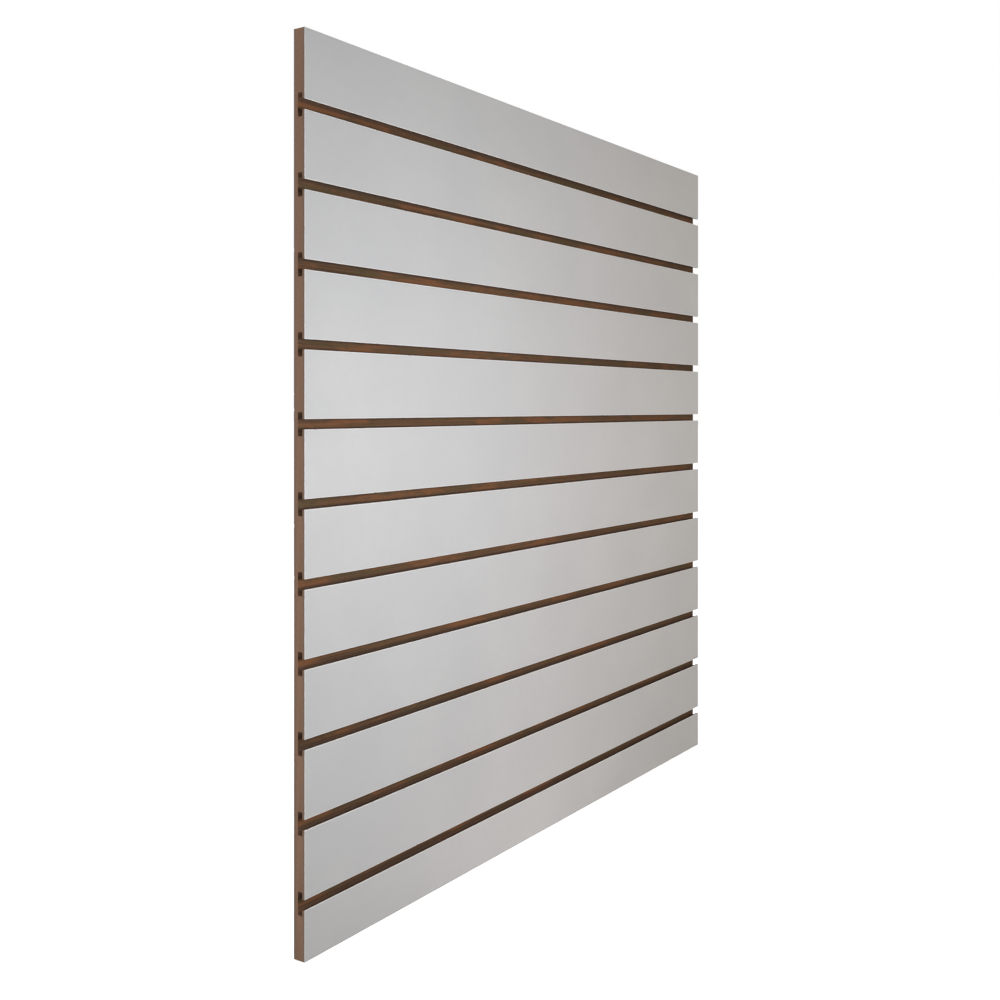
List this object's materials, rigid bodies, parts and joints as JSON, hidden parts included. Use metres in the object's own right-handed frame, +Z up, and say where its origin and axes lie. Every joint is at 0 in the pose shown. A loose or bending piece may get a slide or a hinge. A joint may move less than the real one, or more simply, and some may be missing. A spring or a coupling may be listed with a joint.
{
  "type": "slatwall panel",
  "caption": "Square fibreboard display wall panel with horizontal T-slots cut from end to end, pale laminate slats and bare brown edges; takes hooks and shelf brackets.",
  "frame": {"origin": "centre of the back face, which lies against the wall", "axes": "+Y into the wall, so the slats face -Y; +Z up; +X along the slots, to the right seen from the front"},
  "size_m": [1.2, 0.019, 1.2],
  "materials": {
    "facing": "white melamine laminate, satin, faint pebble texture",
    "fibreboard": "bare medium density fibreboard, sawn edges and routed slots",
    "backing": "brown resin-soaked balancing paper, matt"
  },
  "bodies": {
    "root": {"core_board": "fibreboard", "backing_sheet": "backing", "facing_strip_01": "facing", "facing_strip_02": "facing", "facing_strip_03": "facing", "facing_strip_04": "facing", "facing_strip_05": "facing", "facing_strip_06": "facing", "facing_strip_07": "facing", "facing_strip_08": "facing", "facing_strip_09": "facing", "facing_strip_10": "facing", "facing_strip_11": "facing", "facing_strip_12": "facing"}
  },
  "joints": []
}
